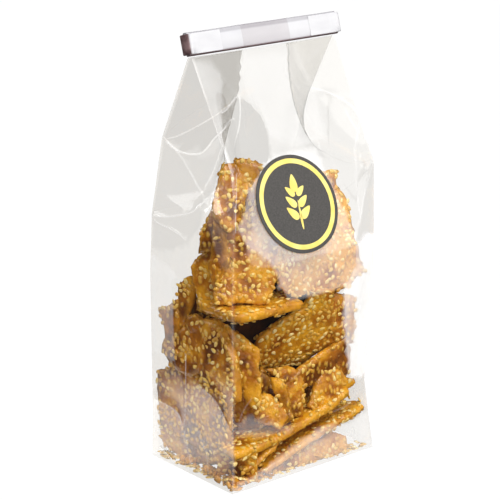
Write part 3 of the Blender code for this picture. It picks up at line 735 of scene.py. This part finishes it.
class Slab:
    """One broken piece of brittle: its shape in its own plane, and where it lies."""

    def __init__(self, number, middle, heading, lean, thick, outline, tone=0.5, seeds=0.5):
        rng = random.Random(number)
        area = sum(a[0] * b[1] - a[1] * b[0] for a, b in zip(outline, outline[1:] + outline[:1]))
        self.rng = rng
        self.turn = facing(heading, lean)
        self.middle = Vector(middle)
        self.thick = thick
        self.key = rng.uniform(0, 500)
        self.bend = rng.uniform(-0.0035, 0.0035)
        self.outline = ragged(outline if area > 0 else outline[::-1], rng)
        self.tone = tone
        self.seeds = seeds
        self.bare = SEED_BARE - SEED_SPREAD * seeds

    def surface(self, u, v, front):
        """The height of a face over the piece's plane, before its rim is rounded."""
        key = self.key if front else self.key + 40
        bump = noise.noise(Vector((u / 6, v / 6, key))) + 0.5 * noise.noise(Vector((u / 2.4, v / 2.4, key)))
        bent = self.bend * (u * u - v * v)
        return (bump * RELIEF if front else -bump * RELIEF - self.thick) + bent

    def to_world(self, u, v, w):
        return self.middle + self.turn @ Vector((u, v, w))

    def shape(self):
        """(points, faces, values at the points) of the piece."""
        outline = self.outline
        loose = grid_in(outline, SLAB_STEP * 1.1, SLAB_STEP * 0.55)
        flat, tris = fill(outline, [], list(loose))
        edge = distance_to(flat, outline, True)
        count = len(flat)
        on_rim = {}
        for i, p in enumerate(outline):
            on_rim[(round(p.x, 3), round(p.y, 3))] = i
        points, rim_value = [], []
        for front in (True, False):
            for (u, v), e in zip(flat, edge):
                round_off = RIM_ROUND * (1 - math.sqrt(max(0.0, 1 - (1 - min(1.0, e / (RIM_ROUND * 1.4))) ** 2)))
                w = self.surface(u, v, front) + (-round_off if front else round_off) * 0.7
                points.append(self.to_world(u, v, w))
                rim_value.append(max(0.0, 1 - e / 2.5))
        faces = [tuple(t) for t in tris] + [tuple(count + i for i in t[::-1]) for t in tris]
        border = [None] * len(outline)
        for i, p in enumerate(flat):
            at = on_rim.get((round(p[0], 3), round(p[1], 3)))
            if at is not None:
                border[at] = i
        border = [i for i in border if i is not None]
        first = len(points)
        size = len(border)
        for row in (1, 2):
            share = row / 3
            for k, i in enumerate(border):
                top, low = points[i], points[count + i]
                before, after = flat[border[k - 1]], flat[border[(k + 1) % size]]
                out = Vector((after[1] - before[1], before[0] - after[0])).normalized()
                rough = 0.8 * noise.noise(Vector((flat[i][0] / 1.6, flat[i][1] / 1.6, self.key + row * 9)))
                points.append(top.lerp(low, share) + self.turn @ Vector((*(out * (0.35 + rough)), 0)))
                rim_value.append(1.0)
        for k in range(size):
            n = (k + 1) % size
            ladder = [(border[k], border[n]), (first + k, first + n), (first + size + k, first + size + n),
                      (count + border[k], count + border[n])]
            for (a, b), (c, d) in zip(ladder, ladder[1:]):
                faces.append((a, c, d, b))
        points = [kept_inside(p) for p in points]
        return points, faces, {"rim": rim_value, "tone": [self.tone] * len(points)}

    def seed_places(self, spacing):
        """(place, out, along, tone) for the seeds on both faces and on the rim."""
        rng, found = self.rng, []
        ends = np.array([tuple(p) for p in self.outline])
        low, high = ends.min(0), ends.max(0)
        for front in (True, False):
            taken = []
            tries = int(3.2 * (high[0] - low[0]) * (high[1] - low[1]) / spacing ** 2)
            spots = np.array([(rng.uniform(low[0], high[0]), rng.uniform(low[1], high[1])) for _ in range(tries)])
            keep = inside(spots, self.outline)
            for u, v in spots[keep]:
                patchy = noise.noise(Vector((u / 8, v / 8, self.key + 3 + front)))
                if patchy < self.bare:
                    continue
                gap = spacing * (1.15 - 0.8 * min(0.5, max(0.0, patchy)))
                if any((u - a) ** 2 + (v - b) ** 2 < gap ** 2 for a, b in taken):
                    continue
                taken.append((u, v))
                out = self.turn @ Vector((0, 0, 1 if front else -1))
                angle = rng.uniform(0, 2 * math.pi)
                found.append((self.to_world(u, v, self.surface(u, v, front)), out,
                              self.turn @ Vector((math.cos(angle), math.sin(angle), rng.uniform(-0.15, 0.15))), self.tone))
        size = len(self.outline)
        for k in range(size):
            if rng.random() > 0.14 + 0.3 * self.seeds:
                continue
            p, after = self.outline[k], self.outline[(k + 1) % size]
            ahead = (after - p).normalized()
            out = Vector((ahead.y, -ahead.x, rng.uniform(-0.4, 0.4)))
            w = -self.thick * rng.uniform(0.15, 0.85)
            place = self.to_world(p.x - out.x * 0.15, p.y - out.y * 0.15, w)
            run = self.turn @ Vector((*(ahead * rng.choice((-1, 1))), rng.uniform(-0.9, 0.9)))
            found.append((place, (self.turn @ out).normalized(), run, self.tone))
        return found


def seed_shape(length, width, height):
    """(points, faces) of the half of a seed that shows, lying along +x with its pointed end first."""
    points, around = [], 8
    for share, up in ((1.0, 0.0), (0.86, 0.52), (0.5, 0.88)):
        for i in range(around):
            turn = 2 * math.pi * i / around
            taper = 1 - 0.42 * math.cos(turn)
            points.append((share * length / 2 * math.cos(turn), share * width / 2 * math.sin(turn) * taper, up * height))
    points.append((-0.06 * length, 0.0, height))
    faces = []
    for ring in (0, around):
        for i in range(around):
            j = (i + 1) % around
            faces += [(ring + i, ring + j, ring + around + j), (ring + i, ring + around + j, ring + around + i)]
    faces += [(2 * around + i, 2 * around + (i + 1) % around, 3 * around) for i in range(around)]
    return np.array(points), faces


def seed_mesh(places, rng):
    """(points, faces, values at the points) of many seeds at (place, out, along, tone)."""
    shape, faces = seed_shape(1, 1, 1)
    points, made, tones = [], [], []
    for place, out, run, tone in places:
        out = (out + Vector([rng.uniform(-0.16, 0.16) for _ in range(3)])).normalized()
        side = out.cross(run).normalized()
        ahead = side.cross(out)
        size = Vector((SEED_LENGTH * rng.uniform(0.86, 1.1), SEED_WIDTH * rng.uniform(0.88, 1.1),
                       SEED_HEIGHT * rng.uniform(0.75, 1.15)))
        base = place - out * SEED_SUNK * rng.uniform(0.4, 1.7)
        first = len(points)
        for x, y, z in shape:
            points.append(base + ahead * (x * size.x) + side * (y * size.y) + out * (z * size.z))
        made += [tuple(first + i for i in f) for f in faces]
        tones += [0.12 + 0.28 * tone + 0.6 * rng.random()] * len(shape)
    return points, made, {"tone": tones}


def film_room(points):
    """The least room between the points and the film, negative outside it."""
    room = 1e9
    for x, y, z in points:
        if z > NECK_Z - 20:
            return -1.0
        reach = half_width(-1 if x < 0 else 1, z)
        if abs(x) >= reach:
            return -1.0
        room = min(room, reach - abs(x), y - wide_y(-1, x, z), wide_y(1, x, z) - y, z - 0.4)
    return room


def heap_top(x, y):
    """How high the heap is piled at a place: a peak at the front left, low at the back left."""
    back = (y + HALF_DEPTH) / DEPTH
    left = (HALF_WIDTH - x) / WIDTH
    return 142 - back * (42 + 34 * left) - max(0.0, x - 4) * 0.6


def random_outline(rng, size):
    """A broken piece's outline: four to six corners, unevenly spread."""
    count = rng.choice((4, 5, 5, 6))
    start = rng.uniform(0, 2 * math.pi)
    made = []
    for i in range(count):
        turn = start + 2 * math.pi * (i + rng.uniform(-0.22, 0.22)) / count
        reach = size * rng.uniform(0.72, 1.12)
        made.append((reach * math.cos(turn), reach * math.sin(turn) * 0.85))
    return made


def tree_of(points, faces):
    return BVHTree.FromPolygons([Vector(p) for p in points], faces)


def fill_heap(shapes):
    """More pieces behind and under the listed ones, each clear of all the others."""
    rng = random.Random(11)
    trees = [tree_of(points, faces) for points, faces, _ in shapes]
    made = []
    for attempt in range(FILL_TRIES):
        if len(made) >= FILL_WANTED:
            break
        late = attempt / FILL_TRIES
        size = rng.uniform(15, 22) * (1 - 0.45 * late)
        kind = rng.random()
        x, y = rng.uniform(-40, 40), rng.uniform(-24, 30)
        z = rng.uniform(4, heap_top(x, y))
        if kind < 0.3:
            x, y, heading, lean = rng.uniform(-34, 36), rng.uniform(27, 31), 180 + rng.gauss(0, 8), rng.gauss(6, 6)
        elif kind < 0.5:
            x, y, heading, lean = rng.uniform(37, 41), rng.uniform(-18, 26), 90 + rng.gauss(0, 8), rng.gauss(6, 6)
        elif kind < 0.7:
            heading, lean = rng.uniform(0, 360), rng.uniform(50, 85)
        else:
            heading, lean = rng.uniform(0, 360), rng.uniform(-10, 50)
        slab = Slab(1000 + attempt, (x, y, z), heading, lean, rng.uniform(3.6, 4.7), random_outline(rng, size),
                    rng.uniform(0.2, 0.7), rng.uniform(0.4, 0.9))
        corners = [slab.to_world(p.x, p.y, w) for p in slab.outline for w in (0.4, -slab.thick - 0.4)]
        if film_room(corners) < 0.9:
            continue
        if max(c.z - heap_top(c.x, c.y) for c in corners) > 4:
            continue
        shape = slab.shape()
        tree = tree_of(shape[0], shape[1])
        if any(tree.overlap(other) for other in trees):
            continue
        trees.append(tree)
        made.append((slab, shape))
    return made


def core_mesh():
    """(points, faces) of a near-black body in the middle of the heap, well inside the pieces: painted shade, seen
    through the gaps between them.
    """
    around, levels = 40, 26
    points, faces = [], []
    for level in range(levels + 1):
        share = level / levels
        z = 3 + share * 128
        for i in range(around):
            turn = 2 * math.pi * i / around
            c, s = math.cos(turn), math.sin(turn)
            x = math.copysign(abs(c) ** 0.6, c) * 29
            y = math.copysign(abs(s) ** 0.6, s) * 12 + 5
            low = min(z, heap_top(x, y) - 22)
            narrow = 1 - 0.35 * max(0.0, share - 0.5) - 0.35 * max(0.0, 1 - z / 18)
            rough = 1 + 0.14 * noise.noise(Vector((x, y, z)) / 7)
            points.append(Vector((x * narrow * rough, y * narrow * rough, max(1.5, low))))
    for level in range(levels):
        for i in range(around):
            j = (i + 1) % around
            a, b = level * around + i, level * around + j
            faces.append((a, b, b + around, a + around))
    faces.append(tuple(range(around))[::-1])
    faces.append(tuple(range(levels * around, (levels + 1) * around)))
    return points, faces


def shown(places, tree):
    """The places from which some of the room outside the heap can be seen."""
    kept = []
    for place, out, run, tone in places:
        side = out.cross(run).normalized()
        start = place + out * 1.2
        rays = [out, out + side, out - side, out + run, out - run, out + Vector((0, 0, 1)), out + Vector((-0.6, -0.8, 0.3))]
        if any(tree.ray_cast(start, ray.normalized(), 14)[0] is None for ray in rays):
            kept.append((place, out, run, tone))
    return kept


def loose_seeds(rng):
    """Seeds that have come off and lie along the foot of the front and the left."""
    found = []
    for _ in range(LOOSE_SEEDS):
        along_edge, in_from = rng.random(), abs(rng.gauss(0, 3.0)) + 1.2
        if rng.random() < 0.5:
            x, y = -HALF_WIDTH + 3 + along_edge * (WIDTH - 6), -HALF_DEPTH + 0.5 + in_from
        else:
            x, y = -HALF_WIDTH + 0.8 + in_from, -HALF_DEPTH + 2 + along_edge * (DEPTH - 4)
        near_corner = max(0.0, 1 - math.hypot(x + HALF_WIDTH, y + HALF_DEPTH) / 18)
        angle = rng.uniform(0, 2 * math.pi)
        found.append((Vector((x, y, 0.9 + rng.random() * (1.5 + 6 * near_corner))), Vector((0, 0, 1)),
                      Vector((math.cos(angle), math.sin(angle), rng.uniform(-0.3, 0.3))), 0.9))
    return found


def crumb_shapes(rng):
    """Small broken bits among the pieces at the foot of the bag."""
    made = []
    for i in range(CRUMBS):
        x, y = rng.uniform(-41, 41), rng.uniform(-28, 26)
        if rng.random() < 0.8:
            near = 18 * rng.random() ** 2
            x, y = rng.choice(((near * 4 - 43, rng.uniform(-30, -25)), (rng.uniform(-45, -39), near * 2.6 - 30)))
        bit = Slab(4000 + i, (x, y, rng.uniform(1.6, 5.5)), rng.uniform(0, 360), rng.uniform(0, 88),
                   rng.uniform(1.6, 2.8), random_outline(rng, rng.uniform(1.2, 2.8)), rng.uniform(0.5, 1.0))
        made.append(bit.shape())
    return made


def make_pieces(name, parts, material):
    """Joined objects of (points, faces, values at the points), each under the most faces that one may have."""
    made, points, faces, values = [], [], [], {}

    def close():
        obj = new_object(f"{name}_{len(made) + 1}", points, faces)
        for key, kept in values.items():
            keep_values(obj, key, kept)
        obj.data.materials.append(material)
        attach(obj, "root")
        made.append(obj)

    size = 0
    for part_points, part_faces, part_values in parts:
        more = sum(len(f) - 2 for f in part_faces)
        if size + more > MOST_FACES:
            close()
            points, faces, values, size = [], [], {}, 0
        first = len(points)
        points += list(part_points)
        faces += [tuple(first + i for i in f) for f in part_faces]
        for key, kept in part_values.items():
            values.setdefault(key, []).extend(kept)
        size += more
    close()
    return made


def make_contents(brittle, sesame, shaded_core):
    slabs = [Slab(i, *spec) for i, spec in enumerate(SLABS)]
    shapes = [slab.shape() for slab in slabs]
    far = [Slab(500 + i, *spec) for i, spec in enumerate(FAR_SLABS)]
    far_shapes = [slab.shape() for slab in far]
    far_trees = [tree_of(points, faces) for points, faces, _ in far_shapes]
    for slab, shape in fill_heap(shapes):
        tree = tree_of(shape[0], shape[1])
        if not any(tree.overlap(other) for other in far_trees):
            slabs.append(slab)
            shapes.append(shape)
    slabs += far
    shapes += far_shapes
    rng = random.Random(5)
    make_pieces("brittle", shapes + crumb_shapes(rng), brittle)
    core = new_object("core", *core_mesh())
    core.data.materials.append(shaded_core)
    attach(core, "root")
    all_points, all_faces = [], []
    for points, faces, _ in shapes:
        first = len(all_points)
        all_points += points
        all_faces += [tuple(first + i for i in f) for f in faces]
    tree = tree_of(all_points, all_faces)
    places = [place for slab in slabs for place in slab.seed_places(SEED_SPACING)]
    places = [p for p in shown(places, tree) if (p[0] - kept_inside(p[0])).length == 0 and p[0].z > SEED_LENGTH / 2]
    places += loose_seeds(rng)
    parts = []
    for i in range(0, len(places), 500):
        parts.append(seed_mesh(places[i:i + 500], rng))
    made = make_pieces("sesame", parts, sesame)
    print("slabs", len(slabs), "seeds", len(places), "faces", sum(len(f) for _, f, _ in shapes))
    return made


# ---- materials -------------------------------------------------------------------------------------------------
def node_material(name):
    material = bpy.data.materials.new(name)
    material.use_nodes = True
    tree = material.node_tree
    for node in list(tree.nodes):
        tree.nodes.remove(node)
    return material, tree.nodes, tree.links, tree.nodes.new("ShaderNodeOutputMaterial")


def maths(nodes, links, operation, *values):
    node = nodes.new("ShaderNodeMath")
    node.operation = operation
    for socket, value in zip(node.inputs, values):
        if isinstance(value, (int, float)):
            socket.default_value = value
        else:
            links.new(value, socket)
    return node.outputs[0]


def texture_noise(nodes, links, scale, detail, stretch=(1, 1, 1)):
    """A noise over the object's own space, in millimetres to one wave at scale 1."""
    place = nodes.new("ShaderNodeTexCoord")
    mapping = nodes.new("ShaderNodeMapping")
    mapping.inputs["Scale"].default_value = [c / (scale * MM) for c in stretch]
    links.new(place.outputs["Object"], mapping.inputs["Vector"])
    made = nodes.new("ShaderNodeTexNoise")
    made.inputs["Scale"].default_value = 1.0
    made.inputs["Detail"].default_value = detail
    links.new(mapping.outputs["Vector"], made.inputs["Vector"])
    return made.outputs["Fac"]


def ramp(nodes, links, value, stops):
    node = nodes.new("ShaderNodeValToRGB")
    while len(node.color_ramp.elements) < len(stops):
        node.color_ramp.elements.new(0.5)
    for element, (place, colour) in zip(node.color_ramp.elements, stops):
        element.position = place
        element.color = (*colour, 1)
    links.new(value, node.inputs["Fac"])
    return node.outputs["Color"]


def mix_colour(nodes, links, share, a, b):
    node = nodes.new("ShaderNodeMix")
    node.data_type = "RGBA"
    for socket, value in ((node.inputs[0], share), (node.inputs[6], a), (node.inputs[7], b)):
        if isinstance(value, tuple):
            socket.default_value = (*value, 1)
        elif isinstance(value, (int, float)):
            socket.default_value = value
        else:
            links.new(value, socket)
    return node.outputs[2]


def attribute(nodes, name):
    node = nodes.new("ShaderNodeAttribute")
    node.attribute_name = name
    return node.outputs["Fac"]


def film_material():
    """Clear crinkled film: it shows what is behind it, mirrors more at a slant, and is white along its creases, its
    folds and in patches, in a white that glows: partly its own whitening where it is creased or doubled, partly
    painted highlight and painted reflection. Where a patch's share is under 0 it is greyer and mirrors less, partly
    painted shade.
    """
    material, nodes, links, output = node_material("clear film")
    streaks = texture_noise(nodes, links, 5.0, 2.0, (1, 1, 0.16))
    grain = texture_noise(nodes, links, 14.0, 1.0)
    bump = nodes.new("ShaderNodeBump")
    bump.inputs["Strength"].default_value = 0.2
    bump.inputs["Distance"].default_value = 0.2 * MM
    links.new(maths(nodes, links, "MULTIPLY_ADD", grain, 1.5, streaks), bump.inputs["Height"])
    weight = nodes.new("ShaderNodeLayerWeight")
    weight.inputs["Blend"].default_value = 0.5
    links.new(bump.outputs["Normal"], weight.inputs["Normal"])
    slant = maths(nodes, links, "POWER", weight.outputs["Facing"], 5.0)
    kept = attribute(nodes, "white")
    # Under 0 the share greys the film and dims its mirroring: partly extra folded layers, partly painted shade.
    dim = maths(nodes, links, "MAXIMUM", maths(nodes, links, "MULTIPLY", kept, -1.0), 0.0)
    mirrored = maths(nodes, links, "MULTIPLY", maths(nodes, links, "MULTIPLY_ADD", slant, 0.45, 0.09),
                     maths(nodes, links, "SUBTRACT", 1.0, dim))
    clear = nodes.new("ShaderNodeBsdfTransparent")
    links.new(mix_colour(nodes, links, dim, (0.965, 0.955, 0.935), (0.745, 0.735, 0.72)), clear.inputs["Color"])
    gloss = nodes.new("ShaderNodeBsdfGlossy")
    gloss.inputs["Color"].default_value = (1, 1, 1, 1)
    gloss.inputs["Roughness"].default_value = 0.12
    links.new(bump.outputs["Normal"], gloss.inputs["Normal"])
    sheet = nodes.new("ShaderNodeMixShader")
    links.new(mirrored, sheet.inputs[0])
    links.new(clear.outputs[0], sheet.inputs[1])
    links.new(gloss.outputs[0], sheet.inputs[2])
    # The white glows with its own light: painted highlight and painted reflection on the creases, folds and patches.
    white = nodes.new("ShaderNodeBsdfPrincipled")
    white.inputs["Base Color"].default_value = (0.95, 0.95, 0.97, 1)
    white.inputs["Roughness"].default_value = 0.35
    white.inputs["Emission Color"].default_value = (1, 0.98, 0.94, 1)
    white.inputs["Emission Strength"].default_value = 0.35
    cloud = texture_noise(nodes, links, 11.0, 3.0, (1, 1, 0.5))
    uneven = maths(nodes, links, "MULTIPLY_ADD", cloud, 1.1, 0.45)
    share = maths(nodes, links, "MULTIPLY", maths(nodes, links, "MAXIMUM", kept, 0.0), uneven)
    whole = nodes.new("ShaderNodeMixShader")
    links.new(share, whole.inputs[0])
    links.new(sheet.outputs[0], whole.inputs[1])
    links.new(white.outputs[0], whole.inputs[2])
    links.new(whole.outputs[0], output.inputs["Surface"])
    return material


def principled(name, colour, roughness, **sockets):
    material, nodes, links, output = node_material(name)
    shader = nodes.new("ShaderNodeBsdfPrincipled")
    if isinstance(colour, tuple):
        shader.inputs["Base Color"].default_value = (*colour, 1)
    shader.inputs["Roughness"].default_value = roughness
    for socket, value in sockets.items():
        shader.inputs[socket.replace("_", " ")].default_value = value
    links.new(shader.outputs[0], output.inputs["Surface"])
    return material, nodes, links, shader


def brittle_material():
    """Glossy caramel: amber and brighter at its thin rims, a painted glow of light coming through them, pale over the
    seeds sunk in it, browner in places.
    """
    material, nodes, links, shader = principled("caramel", None, 0.12, Specular_IOR_Level=0.45)
    uneven = texture_noise(nodes, links, 13.0, 3.0)
    blotch = maths(nodes, links, "MULTIPLY_ADD", attribute(nodes, "tone"), 0.26, maths(nodes, links, "SUBTRACT", uneven, 0.13))
    fine = texture_noise(nodes, links, 2.4, 3.0)
    amber = ramp(nodes, links, blotch, [(0.36, (0.13, 0.034, 0.001)), (0.50, (0.40, 0.130, 0.003)),
                                        (0.64, (0.70, 0.33, 0.012))])
    place = nodes.new("ShaderNodeTexCoord")
    stretch = nodes.new("ShaderNodeMapping")
    stretch.inputs["Scale"].default_value = [1 / (c * MM) for c in (2.6, 3.4, 4.2)]
    links.new(place.outputs["Object"], stretch.inputs["Vector"])
    cells = nodes.new("ShaderNodeTexVoronoi")
    cells.inputs["Scale"].default_value = 1.0
    links.new(stretch.outputs["Vector"], cells.inputs["Vector"])
    sunk = ramp(nodes, links, cells.outputs["Distance"], [(0.16, (1, 1, 1)), (0.44, (0, 0, 0))])
    some = maths(nodes, links, "GREATER_THAN", texture_noise(nodes, links, 8.0, 1.0), 0.44)
    seen = maths(nodes, links, "MULTIPLY", maths(nodes, links, "MULTIPLY", sunk, some), 0.75)
    pale = mix_colour(nodes, links, seen, amber, (0.82, 0.48, 0.06))
    # The rims are mixed towards a brighter amber: a painted glow of light coming through the thin edges.
    rim = maths(nodes, links, "MULTIPLY", attribute(nodes, "rim"), 0.4)
    links.new(mix_colour(nodes, links, rim, pale, (0.80, 0.38, 0.03)), shader.inputs["Base Color"])
    bump = nodes.new("ShaderNodeBump")
    bump.inputs["Strength"].default_value = 1.0
    bump.inputs["Distance"].default_value = 0.5 * MM
    rough = maths(nodes, links, "MULTIPLY_ADD", texture_noise(nodes, links, 0.9, 1.0), 0.35, fine)
    links.new(maths(nodes, links, "MULTIPLY_ADD", sunk, 0.8, rough), bump.inputs["Height"])
    links.new(bump.outputs["Normal"], shader.inputs["Normal"])
    return material


def sesame_material():
    """Toasted seeds under a thin coat of caramel."""
    material, nodes, links, shader = principled("sesame", None, 0.14, Specular_IOR_Level=0.6)
    tone = attribute(nodes, "tone")
    colour = ramp(nodes, links, tone, [(0.0, (0.50, 0.22, 0.012)), (0.4, (0.70, 0.38, 0.045)),
                                       (0.75, (0.85, 0.60, 0.15)), (1.0, (0.96, 0.84, 0.45))])
    fine = texture_noise(nodes, links, 1.6, 2.0)
    shade = ramp(nodes, links, fine, [(0.3, (0.86, 0.80, 0.70)), (0.7, (1, 1, 1))])
    node = nodes.new("ShaderNodeMix")
    node.data_type = "RGBA"
    node.blend_type = "MULTIPLY"
    node.inputs[0].default_value = 1.0
    links.new(colour, node.inputs[6])
    links.new(shade, node.inputs[7])
    links.new(node.outputs[2], shader.inputs["Base Color"])
    return material


# A near-black caramel for the heap's middle: painted shade between the pieces.
def shaded_core_material():
    material, nodes, links, shader = principled("painted shade core", None, 0.9, Specular_IOR_Level=0.1)
    blotch = texture_noise(nodes, links, 6.0, 3.0)
    links.new(ramp(nodes, links, blotch, [(0.3, (0.02, 0.006, 0.001)), (0.7, (0.07, 0.02, 0.003))]),
              shader.inputs["Base Color"])
    return material


def paper_material():
    material, nodes, links, shader = principled("label paper", None, 0.6)
    grain = texture_noise(nodes, links, 0.8, 2.0)
    links.new(ramp(nodes, links, grain, [(0.3, (0.034, 0.031, 0.028)), (0.7, (0.058, 0.053, 0.048))]),
              shader.inputs["Base Color"])
    return material


def foil_material():
    material, nodes, links, shader = principled("gold foil", None, 0.5)
    grain = texture_noise(nodes, links, 6.0, 1.0)
    links.new(ramp(nodes, links, grain, [(0.35, (0.72, 0.56, 0.12)), (0.7, (0.80, 0.68, 0.20))]),
              shader.inputs["Base Color"])
    return material


def roll_material():
    """Many layers of the film pressed together: cloudy white, greyer where there are fewer, with painted shade:
    darkened along its lower crease and greyer over its top band.
    """
    material, nodes, links, shader = principled("rolled film", None, 0.25)
    place = nodes.new("ShaderNodeTexCoord")
    split = nodes.new("ShaderNodeSeparateXYZ")
    links.new(place.outputs["Object"], split.inputs[0])
    outer = maths(nodes, links, "GREATER_THAN", maths(nodes, links, "ABSOLUTE", split.outputs["X"]), SEAM_X * MM)
    streak = texture_noise(nodes, links, 9.0, 2.0, (0.3, 1, 1))
    few = ramp(nodes, links, streak, [(0.3, (0.46, 0.44, 0.45)), (0.7, (0.50, 0.48, 0.49))])
    many = ramp(nodes, links, streak, [(0.3, (0.53, 0.525, 0.54)), (0.7, (0.58, 0.575, 0.585))])
    body = mix_colour(nodes, links, outer, few, many)
    # Painted shade by height: darkened along the lower crease, greyer over the top band.
    edge = attribute(nodes, "level")
    shade = ramp(nodes, links, maths(nodes, links, "MULTIPLY_ADD", edge, 0.5, 0.5), ROLL_PAINTED_SHADE)
    both = nodes.new("ShaderNodeMix")
    both.data_type = "RGBA"
    both.blend_type = "MULTIPLY"
    both.inputs[0].default_value = 1.0
    links.new(body, both.inputs[6])
    links.new(shade, both.inputs[7])
    links.new(both.outputs[2], shader.inputs["Base Color"])
    return material


def tie_material():
    """A cloudy white strip, darkened where it turns the corner at each end, more at the left than at the right:
    painted shade.
    """
    material, nodes, links, shader = principled("tie strip", None, 0.3)
    streak = texture_noise(nodes, links, 4.0, 2.0, (0.3, 1, 1))
    strip = ramp(nodes, links, streak, [(0.3, (0.53, 0.525, 0.54)), (0.7, (0.58, 0.575, 0.585))])
    # The near-black colour where the strip turns the corner is painted shade.
    core = ramp(nodes, links, streak, [(0.35, (0.07, 0.035, 0.035)), (0.65, (0.22, 0.14, 0.14))])
    links.new(mix_colour(nodes, links, attribute(nodes, "end"), strip, core), shader.inputs["Base Color"])
    return material


# ---- the room --------------------------------------------------------------------------------------------------
def make_camera():
    azimuth, elevation = math.radians(CAMERA_AZIMUTH), math.radians(CAMERA_ELEVATION)
    back = Vector((math.sin(azimuth) * math.cos(elevation), -math.cos(azimuth) * math.cos(elevation),
                   math.sin(elevation)))
    data = bpy.data.cameras.new("camera")
    data.lens, data.sensor_width = CAMERA_LENS, CAMERA_SENSOR
    data.clip_start, data.clip_end = 0.01, 20.0
    camera = bpy.data.objects.new("camera", data)
    turn = (-back).to_track_quat("-Z", "Y").to_matrix().to_4x4() @ Matrix.Rotation(math.radians(CAMERA_ROLL), 4, "Z")
    camera.matrix_world = Matrix.Translation((Vector(CAMERA_AIM) + back * CAMERA_DISTANCE) * MM) @ turn
    bpy.context.scene.collection.objects.link(camera)
    bpy.context.scene.camera = camera


def make_softbox(name, azimuth, elevation, distance, width, height, radiance, colour=(1, 1, 1)):
    """An area light that looks at the middle of the bag, from an azimuth measured like the camera's."""
    a, e = math.radians(azimuth), math.radians(elevation)
    away = Vector((math.sin(a) * math.cos(e), -math.cos(a) * math.cos(e), math.sin(e)))
    data = bpy.data.lights.new(name, "AREA")
    data.shape = "RECTANGLE"
    data.size, data.size_y = width, height
    data.energy = radiance * math.pi * width * height
    data.color = colour
    light = bpy.data.objects.new(name, data)
    light.matrix_world = (Matrix.Translation(away * distance + Vector((0, 0, 0.11)))
                          @ away.to_track_quat("Z", "Y").to_matrix().to_4x4())
    bpy.context.scene.collection.objects.link(light)


POOL_MIDDLE, POOL_FADE = (-0.089, 0.055, 0), (0.035, 0.075)


def floor_material():
    """A white floor, over-lit close to the bag, so that it is plain white and mirrors brightest near by."""
    material, nodes, links, output = node_material("pale floor")
    lit = nodes.new("ShaderNodeBsdfDiffuse")
    lit.inputs["Color"].default_value = (0.35, 0.35, 0.35, 1)
    place = nodes.new("ShaderNodeTexCoord")
    away = nodes.new("ShaderNodeVectorMath")
    away.operation = "DISTANCE"
    away.inputs[1].default_value = POOL_MIDDLE
    links.new(place.outputs["Object"], away.inputs[0])
    pool = nodes.new("ShaderNodeMapRange")
    pool.interpolation_type = "SMOOTHSTEP"
    for socket, value in zip(pool.inputs[1:5], (*POOL_FADE, 2.0, 0.05)):
        socket.default_value = value
    links.new(away.outputs["Value"], pool.inputs[0])
    mirrored = nodes.new("ShaderNodeEmission")
    links.new(pool.outputs[0], mirrored.inputs["Strength"])
    white = nodes.new("ShaderNodeEmission")
    white.inputs["Strength"].default_value = 1.08
    path = nodes.new("ShaderNodeLightPath")
    in_gloss = nodes.new("ShaderNodeMixShader")
    links.new(path.outputs["Is Glossy Ray"], in_gloss.inputs[0])
    links.new(lit.outputs[0], in_gloss.inputs[1])
    links.new(mirrored.outputs[0], in_gloss.inputs[2])
    seen = nodes.new("ShaderNodeMixShader")
    links.new(maths(nodes, links, "MULTIPLY", path.outputs["Is Camera Ray"], 0.93), seen.inputs[0])
    links.new(in_gloss.outputs[0], seen.inputs[1])
    links.new(white.outputs[0], seen.inputs[2])
    links.new(seen.outputs[0], output.inputs["Surface"])
    return material


def make_room():
    floor = new_object("floor", [(-4000, -4000, -0.3), (4000, -4000, -0.3), (4000, 4000, -0.3), (-4000, 4000, -0.3)],
                       [(0, 1, 2, 3)], False)
    floor.data.materials.append(floor_material())
    world = bpy.data.worlds.new("room")
    bpy.context.scene.world = world
    world.use_nodes = True
    nodes, links = world.node_tree.nodes, world.node_tree.links
    ambient = nodes["Background"]
    ambient.inputs["Color"].default_value = (1.0, 0.99, 0.98, 1)
    ambient.inputs["Strength"].default_value = 0.11
    seen = nodes.new("ShaderNodeBackground")
    seen.inputs["Color"].default_value = (1, 1, 1, 1)
    seen.inputs["Strength"].default_value = 1.05
    path = nodes.new("ShaderNodeLightPath")
    mix = nodes.new("ShaderNodeMixShader")
    links.new(path.outputs["Is Camera Ray"], mix.inputs[0])
    links.new(ambient.outputs[0], mix.inputs[1])
    links.new(seen.outputs[0], mix.inputs[2])
    links.new(mix.outputs[0], nodes["World Output"].inputs["Surface"])
    make_softbox("low softbox", 28, 2.5, 1.7, 2.7, 0.36, 1.4)
    make_softbox("high softbox", 36, 28.5, 1.7, 3.2, 1.22, 1.2)
    make_softbox("side softbox", -44, 22, 1.7, 1.9, 1.5, 1.2)
    make_softbox("top softbox", -12, 56, 1.6, 1.1, 0.9, 9.5)
    make_softbox("rim softbox", -140, 20, 1.7, 0.6, 0.9, 4.0)
    bpy.context.scene.view_settings.view_transform = "Standard"


make_camera()
make_room()
film = film_material()
make_film(film)
make_roll(roll_material())
make_label(paper_material(), foil_material())
make_contents(brittle_material(), sesame_material(), shaded_core_material())
make_tie(tie_material())
